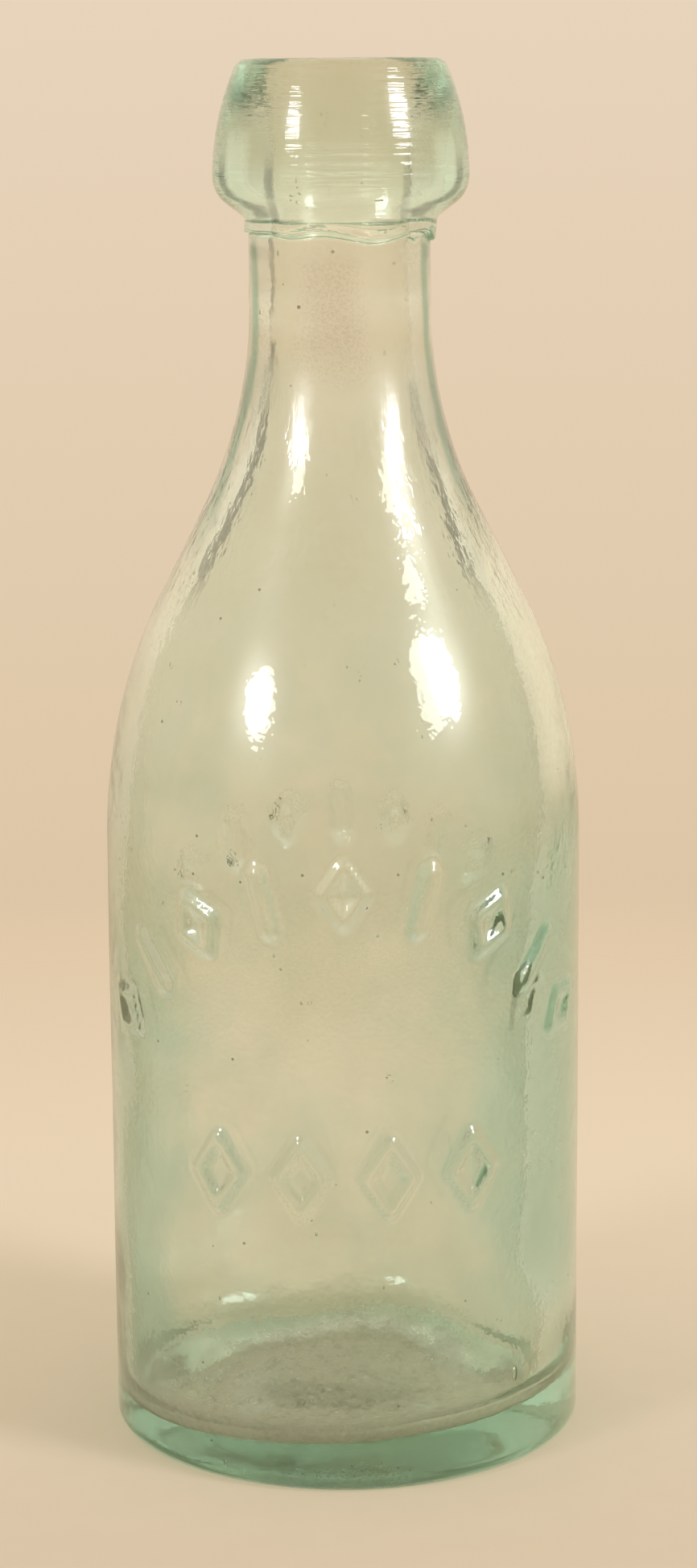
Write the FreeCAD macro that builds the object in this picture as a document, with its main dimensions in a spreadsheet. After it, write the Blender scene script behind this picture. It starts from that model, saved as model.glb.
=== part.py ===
import FreeCAD, Part
import math
import os
import Sketcher
from FreeCAD import Placement, Rotation, Vector

# A hand-blown soda bottle with an applied blob lip, one piece of glass.
# The origin is the middle of the foot, on the surface that the bottle stands on.
# +Z goes up the bottle, and -Y is the front, where the raised ornament is.

doc = FreeCAD.newDocument("soda_bottle")

# Driving dimensions, in millimetres and degrees
driving = {
    # the three stretches of the outside, one on top of the other
    "body_height": 82.0,
    "shoulder_height": 70.0,
    "neck_height": 32.0,
    # the body and its foot
    "body_diameter": 63.5,
    "body_wall": 3.5,
    "heel": 1.4,
    "foot_width": 5.0,
    "push_up": 2.5,
    "push_up_slope": 12.0,
    # the shoulder, its straight slope and the sweep up into the neck
    "slope_length": 12.7,
    "neck_sweep_radius": 57.3,
    "neck_wall": 2.9,
    # the applied lip
    "bore_diameter": 18.0,
    "mouth_bevel": 1.2,
    "lip_land": 2.3,
    "lip_edge": 1.4,
    "lip_overhang": 4.8,
    "lip_belly_drop": 15.0,
    "lip_under_radius": 4.4,
    "lip_under_slope": 36.0,
    # the blown hollow, which leans and has a sloping floor
    "bore_step": 0.25,
    "ledge_rise": 0.8,
    "shoulder_gain": 1.5,
    "hollow_lean": 0.5,
    "floor_thickness": 5.0,
    "floor_slope": 2.5,
    "floor_crown": 1.5,
    "floor_crown_width": 18.0,
    "floor_crown_slope": 12.0,
    "floor_corner": 4.0,
    # the raised ornament
    "relief_height": 0.7,
    "relief_root": 0.7,
    "relief_stroke": 1.1,
    "relief_draft": 25.0,
    "spear_width": 1.6,
    "arch_width": 5.6,
    "arch_height": 8.0,
    "arch_count": 9,
    "arch_radius": 42.0,
    "arch_spread": 114.0,
    "arch_drop": 2.2,
    "back_arch_count": 7,
    "back_arch_radius": 60.0,
    "back_arch_spread": 49.0,
    "back_arch_drop": 4.0,
    "row_width": 7.4,
    "row_height": 9.8,
    "row_count": 4,
    "row_pitch": 11.4,
    "row_drop": 37.0,
}

sheet = doc.addObject("Spreadsheet::Sheet", "sizes")
for row, (alias, value) in enumerate(driving.items(), start=1):
    sheet.set(f"A{row}", alias)
    sheet.set(f"B{row}", str(value))
    sheet.setAlias(f"B{row}", alias)
doc.recompute()


def size(alias):
    return float(sheet.get(alias))


# The same sums as the sketches' constraints, for where their lines start out
body_r = size("body_diameter") / 2
bore_r = size("bore_diameter") / 2
neck_r = bore_r + size("neck_wall")
belly_r = neck_r + size("lip_overhang")
land_r = bore_r + size("mouth_bevel") + size("lip_land")
neck_start = size("body_height") + size("shoulder_height")
top = neck_start + size("neck_height")
belly_height = top - size("lip_belly_drop")
hollow_r = body_r - size("body_wall")
throat_r = bore_r + size("bore_step")
ledge_height = neck_start - size("shoulder_gain") + size("ledge_rise")
bore_overlap = 1.0
bore_low = ledge_height - bore_overlap
clear_of_lip = 1.0

neck_start_formula = "sizes.body_height + sizes.shoulder_height"
top_formula = f"{neck_start_formula} + sizes.neck_height"
neck_formula = "sizes.bore_diameter / 2 + sizes.neck_wall"
ledge_formula = f"{neck_start_formula} - sizes.shoulder_gain + sizes.ledge_rise"


def polar(centre, radius, angle):
    return (centre[0] + radius * math.cos(angle), centre[1] + radius * math.sin(angle))


def ogee(low, high, sweep_radius):
    # Arc, straight slope and arc, all tangent: they leave the low point going straight up
    # and reach the high point going straight up, further in.
    inward = low[0] - high[0]
    rise = high[1] - low[1]
    slope = size("slope_length")
    both_radii = (rise ** 2 + inward ** 2 - slope ** 2) / (2 * inward)
    shoulder_radius = both_radii - sweep_radius
    turn = math.atan2(rise, both_radii - inward) - math.atan2(slope, both_radii)
    return (low[0] - shoulder_radius, low[1]), (high[0] + sweep_radius, high[1]), turn


class Outline:
    # A closed run of lines and arcs in one sketch, each piece from the last one's end.

    def __init__(self, sketch, start):
        self.sketch = sketch
        self.here = start
        self.pieces = []

    def add(self, curve, first, last, end):
        self.pieces.append((self.sketch.addGeometry(curve), first, last))
        self.here = end
        return self.pieces[-1][0]

    def line(self, end):
        return self.add(Part.LineSegment(Vector(*self.here, 0), Vector(*end, 0)), 1, 2, end)

    def arc(self, centre, end, anticlockwise):
        radius = math.dist(centre, end)
        from_angle = math.atan2(self.here[1] - centre[1], self.here[0] - centre[0])
        to_angle = math.atan2(end[1] - centre[1], end[0] - centre[0])
        circle = Part.Circle(Vector(*centre, 0), Vector(0, 0, 1), radius)
        if anticlockwise:
            return self.add(Part.ArcOfCircle(circle, from_angle, to_angle), 1, 2, end)
        return self.add(Part.ArcOfCircle(circle, to_angle, from_angle), 2, 1, end)

    def close(self, tangent_after):
        # Each piece meets the next one: tangent where the names say so, else at a corner.
        for number, (piece, _, last) in enumerate(self.pieces):
            following, first, _ = self.pieces[(number + 1) % len(self.pieces)]
            kind = "Tangent" if piece in tangent_after else "Coincident"
            self.sketch.addConstraint(Sketcher.Constraint(kind, piece, last, following, first))

    def start_of(self, piece):
        return next((index, first) for index, first, _ in self.pieces if index == piece)

    def end_of(self, piece):
        return next((index, last) for index, _, last in self.pieces if index == piece)


def bind(sketch, kind, where, name, value, formula):
    number = sketch.addConstraint(Sketcher.Constraint(kind, *where, value))
    sketch.renameConstraint(number, name)
    sketch.setExpression(f"Constraints.{name}", formula)


def from_axis(sketch, point, name, value, formula):
    bind(sketch, "DistanceX", (-1, 1, *point), name, value, formula)


def from_ground(sketch, point, name, value, formula):
    bind(sketch, "DistanceY", (-1, 1, *point), name, value, formula)


def radius_of(sketch, piece, name, alias):
    bind(sketch, "Radius", (piece,), name, size(alias), f"sizes.{alias}")


def on_axis(sketch, point):
    sketch.addConstraint(Sketcher.Constraint("PointOnObject", *point, -2))


def level(sketch, *pieces):
    for piece in pieces:
        sketch.addConstraint(Sketcher.Constraint("Horizontal", piece))


def upright(sketch, *pieces):
    for piece in pieces:
        sketch.addConstraint(Sketcher.Constraint("Vertical", piece))


def new_sketch(body, name, role):
    sketch = body.newObject("Sketcher::SketchObject", name)
    plane = next(item for item in body.Origin.OriginFeatures if item.Role == role)
    sketch.AttachmentSupport = [(plane, "")]
    sketch.MapMode = "FlatFace"
    return sketch


def turn_round(body, kind, name, sketch):
    feature = body.newObject(kind, name)
    feature.Profile = sketch
    feature.ReferenceAxis = (sketch, ["V_Axis"])
    feature.Angle = 360
    doc.recompute()
    return feature


def draw_ogee(outline, high, sweep_radius, formula):
    # The curve in from the side to the neck, for the outside and the hollow alike
    sketch = outline.sketch
    low = outline.here
    shoulder_centre, sweep_centre, turn = ogee(low, high, sweep_radius)
    shoulder = outline.arc(shoulder_centre, polar(shoulder_centre, low[0] - shoulder_centre[0], turn), True)
    slope = outline.line(polar(sweep_centre, sweep_radius, math.pi + turn))
    sweep = outline.arc(sweep_centre, high, False)
    bind(sketch, "Distance", (slope,), "slope_length", size("slope_length"), "sizes.slope_length")
    bind(sketch, "Radius", (sweep,), "sweep_radius", sweep_radius, formula)
    return shoulder, slope, sweep


def draw_outside(body):
    # Half of the outside, from the push-up under the foot round to the top of the lip
    sketch = new_sketch(body, "outside_profile", "XZ_Plane")
    push_up = size("push_up")
    foot_outer_r = body_r - size("heel")
    foot_inner_r = foot_outer_r - size("foot_width")
    push_up_r = foot_inner_r - push_up / math.tan(math.radians(size("push_up_slope")))

    under_angle = math.radians(90 - size("lip_under_slope"))
    under_centre = (belly_r - size("lip_under_radius"), belly_height)
    under_start = polar(under_centre, size("lip_under_radius"), -under_angle)
    seat_height = under_start[1] - (under_start[0] - neck_r) / math.tan(under_angle)

    side_end = (land_r + size("lip_edge"), top - size("lip_edge"))
    inset = belly_r - side_end[0]
    side_rise = side_end[1] - belly_height
    side_radius = (inset ** 2 + side_rise ** 2) / (2 * inset)
    side_centre = (belly_r - side_radius, belly_height)

    outline = Outline(sketch, (0, push_up))
    dome = outline.line((push_up_r, push_up))
    dome_side = outline.line((foot_inner_r, 0))
    foot = outline.line((foot_outer_r, 0))
    heel = outline.line((body_r, size("heel")))
    side = outline.line((body_r, size("body_height")))
    shoulder, slope, sweep = draw_ogee(outline, (neck_r, neck_start), size("neck_sweep_radius"),
                                       "sizes.neck_sweep_radius")
    neck = outline.line((neck_r, seat_height))
    seat = outline.line(under_start)
    under = outline.arc(under_centre, (belly_r, belly_height), True)
    lip_side = outline.arc(side_centre, side_end, True)
    lip_edge = outline.line((land_r, top))
    lip_top = outline.line((0, top))
    axis = outline.line((0, push_up))
    outline.close((side, shoulder, slope, sweep, seat, under))

    level(sketch, dome, foot, lip_top)
    upright(sketch, side, neck, axis)
    on_axis(sketch, outline.start_of(dome))
    sketch.addConstraint(Sketcher.Constraint("PointOnObject", *outline.end_of(foot), -1))
    sketch.addConstraint(Sketcher.Constraint("Horizontal", under, 3, *outline.end_of(under)))

    from_ground(sketch, outline.start_of(dome), "push_up", push_up, "sizes.push_up")
    bind(sketch, "DistanceX", (*outline.end_of(dome), *outline.end_of(dome_side)), "push_up_run",
         foot_inner_r - push_up_r, "sizes.push_up / tan(sizes.push_up_slope * 1 deg)")
    bind(sketch, "DistanceX", (*outline.start_of(foot), *outline.end_of(foot)), "foot_width",
         size("foot_width"), "sizes.foot_width")
    bind(sketch, "DistanceX", (*outline.start_of(heel), *outline.end_of(heel)), "heel_in",
         size("heel"), "sizes.heel")
    from_ground(sketch, outline.end_of(heel), "heel_up", size("heel"), "sizes.heel")
    from_axis(sketch, outline.end_of(heel), "body_radius", body_r, "sizes.body_diameter / 2")
    from_ground(sketch, outline.end_of(side), "body_height", size("body_height"), "sizes.body_height")
    from_axis(sketch, outline.end_of(sweep), "neck_radius", neck_r, neck_formula)
    from_ground(sketch, outline.end_of(sweep), "neck_start", neck_start, neck_start_formula)
    radius_of(sketch, under, "lip_under_radius", "lip_under_radius")
    bind(sketch, "Angle", (-1, 1, *outline.start_of(seat)), "lip_under_slope",
         math.radians(size("lip_under_slope")), "sizes.lip_under_slope * 1 deg")
    from_axis(sketch, outline.end_of(under), "belly_radius", belly_r,
              f"{neck_formula} + sizes.lip_overhang")
    from_ground(sketch, outline.end_of(under), "belly_height", belly_height,
                f"{top_formula} - sizes.lip_belly_drop")
    from_axis(sketch, outline.end_of(lip_edge), "land_radius", land_r,
              "sizes.bore_diameter / 2 + sizes.mouth_bevel + sizes.lip_land")
    from_ground(sketch, outline.end_of(lip_edge), "top", top, top_formula)
    bind(sketch, "DistanceX", (*outline.end_of(lip_edge), *outline.start_of(lip_edge)),
         "edge_out", size("lip_edge"), "sizes.lip_edge")
    bind(sketch, "DistanceY", (*outline.start_of(lip_edge), *outline.end_of(lip_edge)),
         "edge_down", size("lip_edge"), "sizes.lip_edge")
    return sketch


def draw_bore(body):
    # Half of the bore that the lip maker's plug leaves, with the mouth bevelled outwards
    sketch = new_sketch(body, "bore_profile", "XZ_Plane")
    bevel = size("mouth_bevel")
    outline = Outline(sketch, (0, bore_low))
    floor = outline.line((bore_r, bore_low))
    wall = outline.line((bore_r, top - bevel))
    mouth = outline.line((bore_r + bevel, top))
    rim = outline.line((bore_r + bevel, top + clear_of_lip))
    lid = outline.line((0, top + clear_of_lip))
    axis = outline.line((0, bore_low))
    outline.close(())

    level(sketch, floor, lid)
    upright(sketch, wall, rim, axis)
    on_axis(sketch, outline.start_of(floor))
    from_axis(sketch, outline.end_of(wall), "bore_radius", bore_r, "sizes.bore_diameter / 2")
    from_ground(sketch, outline.end_of(floor), "bore_low", bore_low,
                f"{ledge_formula} - {bore_overlap}")
    from_axis(sketch, outline.end_of(mouth), "mouth_radius", bore_r + bevel,
              "sizes.bore_diameter / 2 + sizes.mouth_bevel")
    from_ground(sketch, outline.start_of(mouth), "bevel_low", top - bevel,
                f"{top_formula} - sizes.mouth_bevel")
    from_ground(sketch, outline.end_of(mouth), "top", top, top_formula)
    from_ground(sketch, outline.end_of(rim), "lid", top + clear_of_lip,
                f"{top_formula} + {clear_of_lip}")
    return sketch


def draw_hollow(body):
    # Half of the blown hollow, from below its floor up to the ledge under the bore
    sketch = new_sketch(body, "hollow_profile", "XZ_Plane")
    side_top = (hollow_r, size("body_height") - size("shoulder_gain"))
    throat_low = (throat_r, neck_start - size("shoulder_gain"))
    outline = Outline(sketch, (0, 0))
    bottom = outline.line((hollow_r, 0))
    side = outline.line(side_top)
    shoulder, slope, sweep = draw_ogee(outline, throat_low,
                                       size("neck_sweep_radius") + size("neck_wall"),
                                       "sizes.neck_sweep_radius + sizes.neck_wall")
    throat = outline.line((throat_r, ledge_height))
    ledge = outline.line((0, ledge_height))
    axis = outline.line((0, 0))
    outline.close((side, shoulder, slope, sweep))

    level(sketch, bottom, ledge)
    upright(sketch, side, throat, axis)
    sketch.addConstraint(Sketcher.Constraint("Coincident", *outline.start_of(bottom), -1, 1))
    from_axis(sketch, outline.end_of(side), "hollow_radius", hollow_r,
              "sizes.body_diameter / 2 - sizes.body_wall")
    from_ground(sketch, outline.end_of(side), "side_top", side_top[1],
                "sizes.body_height - sizes.shoulder_gain")
    from_axis(sketch, outline.end_of(sweep), "throat_radius", throat_r,
              "sizes.bore_diameter / 2 + sizes.bore_step")
    from_ground(sketch, outline.end_of(sweep), "throat_low", throat_low[1],
                f"{neck_start_formula} - sizes.shoulder_gain")
    from_ground(sketch, outline.end_of(throat), "ledge_height", ledge_height, ledge_formula)
    return sketch


def draw_floor(body):
    # Half of what lies under the hollow's floor, drawn about the floor's own sloping axis:
    # a low crown in the middle, over the push-up, and a flat ring out past the wall
    sketch = new_sketch(body, "floor_profile", "XZ_Plane")
    crown = size("floor_crown")
    crown_top_r = size("floor_crown_width") / 2
    crown_run = crown / math.tan(math.radians(size("floor_crown_slope")))
    sketch.AttachmentOffset = Placement(Vector(0, size("floor_thickness"), 0),
                                        Rotation(Vector(0, 0, 1), size("floor_slope")))
    sketch.setExpression("AttachmentOffset.Base.y", "sizes.floor_thickness")
    sketch.setExpression("AttachmentOffset.Rotation.Angle", "sizes.floor_slope")
    outline = Outline(sketch, (0, crown))
    axis = outline.line((0, -body_r))
    bottom = outline.line((body_r, -body_r))
    rim = outline.line((body_r, 0))
    ring = outline.line((crown_top_r + crown_run, 0))
    crown_side = outline.line((crown_top_r, crown))
    crown_top = outline.line((0, crown))
    outline.close(())

    level(sketch, bottom, ring, crown_top)
    upright(sketch, rim, axis)
    on_axis(sketch, outline.start_of(axis))
    from_ground(sketch, outline.start_of(axis), "floor_crown", crown, "sizes.floor_crown")
    from_axis(sketch, outline.end_of(crown_side), "crown_radius", crown_top_r,
              "sizes.floor_crown_width / 2")
    bind(sketch, "DistanceX", (*outline.end_of(crown_side), *outline.start_of(crown_side)),
         "crown_run", crown_run, "sizes.floor_crown / tan(sizes.floor_crown_slope * 1 deg)")
    sketch.addConstraint(Sketcher.Constraint("PointOnObject", *outline.end_of(ring), -1))
    from_axis(sketch, outline.end_of(rim), "ring_radius", body_r, "sizes.body_diameter / 2")
    bind(sketch, "DistanceY", (*outline.end_of(bottom), -1, 1), "ring_depth", body_r,
         "sizes.body_diameter / 2")
    return sketch


def longest_low_edge(feature):
    # The edge where the floor's ring meets the hollow's wall runs all the way round
    reach = [(edge.Length, f"Edge{number}") for number, edge in enumerate(feature.Shape.Edges, 1)
             if edge.BoundBox.ZMax < size("floor_thickness") + body_r / 2]
    return max(reach)[1]


def draw_lozenge(body, kind):
    # An open lozenge, seen from the front, on a plane just outside the crown of the relief
    sketch = new_sketch(body, f"{kind}_lozenge_profile", "XZ_Plane")
    half_width = size(f"{kind}_width") / 2
    half_height = size(f"{kind}_height") / 2
    side = math.hypot(half_width, half_height)
    shrink = 1 - size("relief_stroke") * side / (half_width * half_height)
    rings = []
    for share in (1, shrink):
        outline = Outline(sketch, (share * half_width, 0))
        corners = [(0, share * half_height), (-share * half_width, 0),
                   (0, -share * half_height), (share * half_width, 0)]
        sides = [outline.line(corner) for corner in corners]
        outline.close(())
        for number, axis in enumerate((-1, -2, -1, -2)):
            sketch.addConstraint(Sketcher.Constraint(
                "PointOnObject", *outline.start_of(sides[number]), axis))
        for other in sides[1:3]:
            sketch.addConstraint(Sketcher.Constraint("Equal", sides[0], other))
        rings.append((outline, sides))
    (outer, outer_sides), (inner, inner_sides) = rings
    bind(sketch, "DistanceX", (*outer.end_of(outer_sides[1]), *outer.start_of(outer_sides[0])),
         "width", size(f"{kind}_width"), f"sizes.{kind}_width")
    bind(sketch, "DistanceY", (*outer.end_of(outer_sides[2]), *outer.end_of(outer_sides[0])),
         "height", size(f"{kind}_height"), f"sizes.{kind}_height")
    sketch.addConstraint(Sketcher.Constraint("Parallel", outer_sides[0], inner_sides[0]))
    bind(sketch, "Distance", (*inner.start_of(inner_sides[0]), outer_sides[0]), "stroke",
         size("relief_stroke"), "sizes.relief_stroke")
    return sketch


def draw_spear(body, kind):
    # A solid bar with a square point at each end, on the same plane
    sketch = new_sketch(body, f"{kind}_spear_profile", "XZ_Plane")
    half_width = size("spear_width") / 2
    half_height = size(f"{kind}_height") / 2
    shoulder_height = half_height - half_width
    outline = Outline(sketch, (half_width, -shoulder_height))
    right = outline.line((half_width, shoulder_height))
    right_tip = outline.line((0, half_height))
    left_tip = outline.line((-half_width, shoulder_height))
    left = outline.line((-half_width, -shoulder_height))
    low_left_tip = outline.line((0, -half_height))
    low_right_tip = outline.line((half_width, -shoulder_height))
    outline.close(())

    upright(sketch, right, left)
    for tip in (left_tip, low_left_tip, low_right_tip):
        sketch.addConstraint(Sketcher.Constraint("Equal", right_tip, tip))
    sketch.addConstraint(Sketcher.Constraint("Perpendicular", right_tip, left_tip))
    sketch.addConstraint(Sketcher.Constraint(
        "Horizontal", *outline.end_of(right), *outline.end_of(left_tip)))
    on_axis(sketch, outline.end_of(right_tip))
    on_axis(sketch, outline.end_of(low_left_tip))
    bind(sketch, "DistanceX", (*outline.end_of(left_tip), *outline.end_of(right)), "spear_width",
         size("spear_width"), "sizes.spear_width")
    from_ground(sketch, outline.end_of(right_tip), "half_height", half_height,
                f"sizes.{kind}_height / 2")
    bind(sketch, "DistanceY", (*outline.end_of(low_left_tip), -1, 1), "low_half_height",
         half_height, f"sizes.{kind}_height / 2")
    return sketch


def raise_motif(kind, name, draw):
    # The strokes widen towards the glass, as they do in an iron mould that has to let go
    body = doc.addObject("PartDesign::Body", f"{kind}_{name}")
    sketch = draw(body, kind)
    sketch.AttachmentOffset = Placement(Vector(0, 0, 1), Rotation())
    sketch.setExpression("AttachmentOffset.Base.z", "sizes.body_diameter / 2 + sizes.relief_height")
    pad = body.newObject("PartDesign::Pad", f"{kind}_{name}_pad")
    pad.Profile = sketch
    pad.Reversed = True
    pad.setExpression("Length", "sizes.relief_height + sizes.relief_root")
    pad.setExpression("TaperAngle", "sizes.relief_draft")
    doc.recompute()
    return body


def place_copy(motif, name, across, height, lean, back):
    # The distance across is measured round the body, from the middle of its front or back
    copy = doc.addObject("App::Link", name)
    copy.LinkedObject = motif
    turn = math.degrees(across / body_r) + (180 if back else 0)
    rotation = Rotation(Vector(0, 0, 1), turn).multiply(Rotation(Vector(0, 1, 0), lean))
    copy.Placement = Placement(Vector(0, 0, height), rotation)
    return copy


def lay_arch(kind, motifs, back):
    # Lozenges and spears by turns along an arch, each standing square to it
    count = int(size(f"{kind}_count"))
    radius = size(f"{kind}_radius")
    crown = size("body_height") - size(f"{kind}_drop")
    copies = []
    for number in range(count):
        lean = size(f"{kind}_spread") * (number / (count - 1) - 0.5)
        across = radius * math.sin(math.radians(lean))
        height = crown - radius * (1 - math.cos(math.radians(lean)))
        motif = motifs[number % len(motifs)]
        copies.append(place_copy(motif, f"{kind}_{number}", across, height, lean, back))
    return copies


def lay_row(motif):
    count = int(size("row_count"))
    height = size("body_height") - size("arch_drop") - size("row_drop")
    return [place_copy(motif, f"row_{number}", size("row_pitch") * (number - (count - 1) / 2),
                       height, 0, False)
            for number in range(count)]


blank = doc.addObject("PartDesign::Body", "glass_blank")
turn_round(blank, "PartDesign::Revolution", "outside", draw_outside(blank))
solid_glass = blank.Shape.Volume
turn_round(blank, "PartDesign::Groove", "bore", draw_bore(blank))
if blank.Shape.Volume >= solid_glass:
    raise RuntimeError("the bore cut nothing")

hollow = doc.addObject("PartDesign::Body", "blown_hollow")
turn_round(hollow, "PartDesign::Revolution", "bubble", draw_hollow(hollow))
whole_bubble = hollow.Shape.Volume
floor_cut = turn_round(hollow, "PartDesign::Groove", "floor", draw_floor(hollow))
if hollow.Shape.Volume >= whole_bubble:
    raise RuntimeError("the floor was not cut")
corner = hollow.newObject("PartDesign::Chamfer", "floor_corner")
corner.Base = (floor_cut, [longest_low_edge(floor_cut)])
corner.setExpression("Size", "sizes.floor_corner")
hollow.Placement = Placement(Vector(0, 0, 0), Rotation(Vector(0, 1, 0), size("hollow_lean")),
                             Vector(0, 0, ledge_height))
doc.recompute()

motif_lozenge = raise_motif("arch", "lozenge", draw_lozenge)
motif_spear = raise_motif("arch", "spear", draw_spear)
row_lozenge = raise_motif("row", "lozenge", draw_lozenge)

ornament = doc.addObject("Part::MultiFuse", "ornament")
ornament.Shapes = (lay_arch("arch", (motif_lozenge, motif_spear), False)
                   + lay_arch("back_arch", (motif_lozenge, motif_spear), True)
                   + lay_row(row_lozenge))

shell = doc.addObject("Part::Cut", "blown_glass")
shell.Base = blank
shell.Tool = hollow

bottle = doc.addObject("Part::MultiFuse", "bottle")
bottle.Label = "bottle"
bottle.Shapes = [shell, ornament]
doc.recompute()

for item in doc.Objects:
    if {"Invalid", "Error"} & set(item.State):
        raise RuntimeError(f"{item.Name} has the state {item.State}")
    if item.isDerivedFrom("Sketcher::SketchObject") and not item.FullyConstrained:
        raise RuntimeError(f"{item.Name} is not fully constrained")
    if item.isDerivedFrom("Part::Feature") and (item.Shape.isNull() or not item.Shape.isValid()):
        raise RuntimeError(f"{item.Name} has no valid shape")
if len(bottle.Shape.Solids) != 1:
    raise RuntimeError("the bottle is not one piece of glass")

os.makedirs("parts", exist_ok=True)
for part in (bottle,):
    part.Shape.exportStep(f"parts/{part.Label}.step")
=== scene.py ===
import math
import random
import bpy
import numpy as np
from mathutils import Matrix, Vector, noise


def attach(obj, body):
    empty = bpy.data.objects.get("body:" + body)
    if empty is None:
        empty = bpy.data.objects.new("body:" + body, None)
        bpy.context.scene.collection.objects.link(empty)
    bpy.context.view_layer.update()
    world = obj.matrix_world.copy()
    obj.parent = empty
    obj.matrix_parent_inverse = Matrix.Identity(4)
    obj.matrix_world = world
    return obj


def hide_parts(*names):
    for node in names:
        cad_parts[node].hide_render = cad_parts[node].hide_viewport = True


# An old blown soda bottle in pale aqua glass, with a thick lip laid on round the neck by hand.
# Forms are worked out in millimetres, and turned into metres when their mesh is made.
# Angles round the bottle start at the front and grow towards the right.

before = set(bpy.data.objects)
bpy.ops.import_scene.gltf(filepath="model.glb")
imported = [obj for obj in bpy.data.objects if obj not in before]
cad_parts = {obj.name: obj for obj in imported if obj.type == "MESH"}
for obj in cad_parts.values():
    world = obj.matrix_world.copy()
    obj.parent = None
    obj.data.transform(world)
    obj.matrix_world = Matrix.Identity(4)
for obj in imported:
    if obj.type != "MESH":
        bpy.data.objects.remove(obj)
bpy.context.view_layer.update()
mm = 0.001
fullTurn = 2 * math.pi


def smooth(low, high, value):
    share = np.clip((value - low) / (high - low), 0.0, 1.0)
    return share * share * (3 - 2 * share)


def between(low, full, fade, high, value):
    # 1 between full and fade, falling to 0 at low and high
    return smooth(low, full, value) * (1 - smooth(fade, high, value))


def bump(value, centre, spread):
    return np.exp(-((value - centre) / spread) ** 2)


def degreesFrom(middle, angles):
    # How far angles are round the bottle from a middle one, -180 to 180 degrees
    return (np.degrees(angles) - middle + 180) % 360 - 180


outsideSizes = {
    "bodyRadius": 31.75, "bodyTop": 82.0, "heelRadius": 1.8,
    "footInner": 25.35, "pushUp": 2.5, "pushUpFall": (10.6, 25.85),
    "ornamentLow": 32, "ornamentTurn": 7.2,
    "shoulderRadius": 72.0, "shoulderTurn": 27.0, "sweepRadius": 57.3,
    "neckRadius": 11.9, "neckStart": 152.0, "neckEnd": 162.0,
    "skirtRadius": 12.55, "skirtLow": 162.1, "skirtTop": 163.4, "hemRadius": 0.35, "hemTurn": 120,
    "seat": (12.7, 163.7), "bellyRadius": 16.7, "bellyHeight": 169.0, "underRadius": 4.4, "underTurn": 54.0,
    "sideRadius": 34.9, "edgeRadius": 2.0, "top": 184.0,
}
hollowSizes = {
    "boreRadius": 9.0, "mouthRadius": 1.2, "flare": 1.6, "flareLow": 169.5,
    "ledgeHeight": 151.3, "taper": 3.0, "throatRadius": 9.25,
    "throatLow": 150.5, "sweepRadius": 60.2, "turn": 25.88,
    "shoulderRadius": 74.0, "wallTop": 80.5, "wallRadius": 28.25,
    "cornerRadius": 4.6, "floorHeight": 5.0, "crown": 1.5, "crownFall": (7.0, 18.0),
    "lean": 0.5, "floorSlope": 2.5, "slopeFades": (8.0, 22),
}
meshing = {
    # Widest gap between rings on each part of the outside and of the hollow
    "foot": 1.2, "heel": 0.3, "side": 1.1, "ornament": 0.56, "ornamentTop": 0.6, "slope": 1.2, "neck": 0.9,
    "hem": 0.12, "skirt": 0.25, "lip": 0.3, "lipSide": 0.24, "top": 0.5, "mouth": 0.35,
    "bore": 0.8, "ledge": 0.7, "sweep": 1.4, "hollow": 1.5, "corner": 0.7,
    # The smallest ring, and the rings of the push-up and of the floor
    "pole": 1.5, "footRings": 16, "floorRings": 18,
    # Columns round the bottle, and where they are closer in front and behind, in degrees
    "columns": {"plain": 188, "wall": 144, "bore": 120, "foot": 96},
    "frontEnd": 76, "frontStep": 0.95, "backStart": 148, "backEnd": 212, "backStep": 1.1, "sideColumns": 36,
}


def onArc(centre, radius, degrees):
    angle = np.radians(degrees)
    return np.stack((centre[0] + radius * np.cos(angle), centre[1] + radius * np.sin(angle)), axis=-1)


def bend(centre, radius, start, end, gap):
    steps = max(2, math.ceil(abs(math.radians(end - start)) * radius / gap))
    return onArc(centre, radius, np.linspace(start, end, steps + 1))


def straight(start, end, gap):
    steps = max(1, math.ceil(math.dist(start, end) / gap))
    return np.linspace(start, end, steps + 1)


def joinRuns(runs):
    # Each run is (points, column set, skin); a run's first point is the last one's end
    rings = []
    for points, columns, skin in runs:
        for point in points[(1 if rings else 0):]:
            rings.append((point[0], point[1], columns, skin))
    return rings


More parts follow.
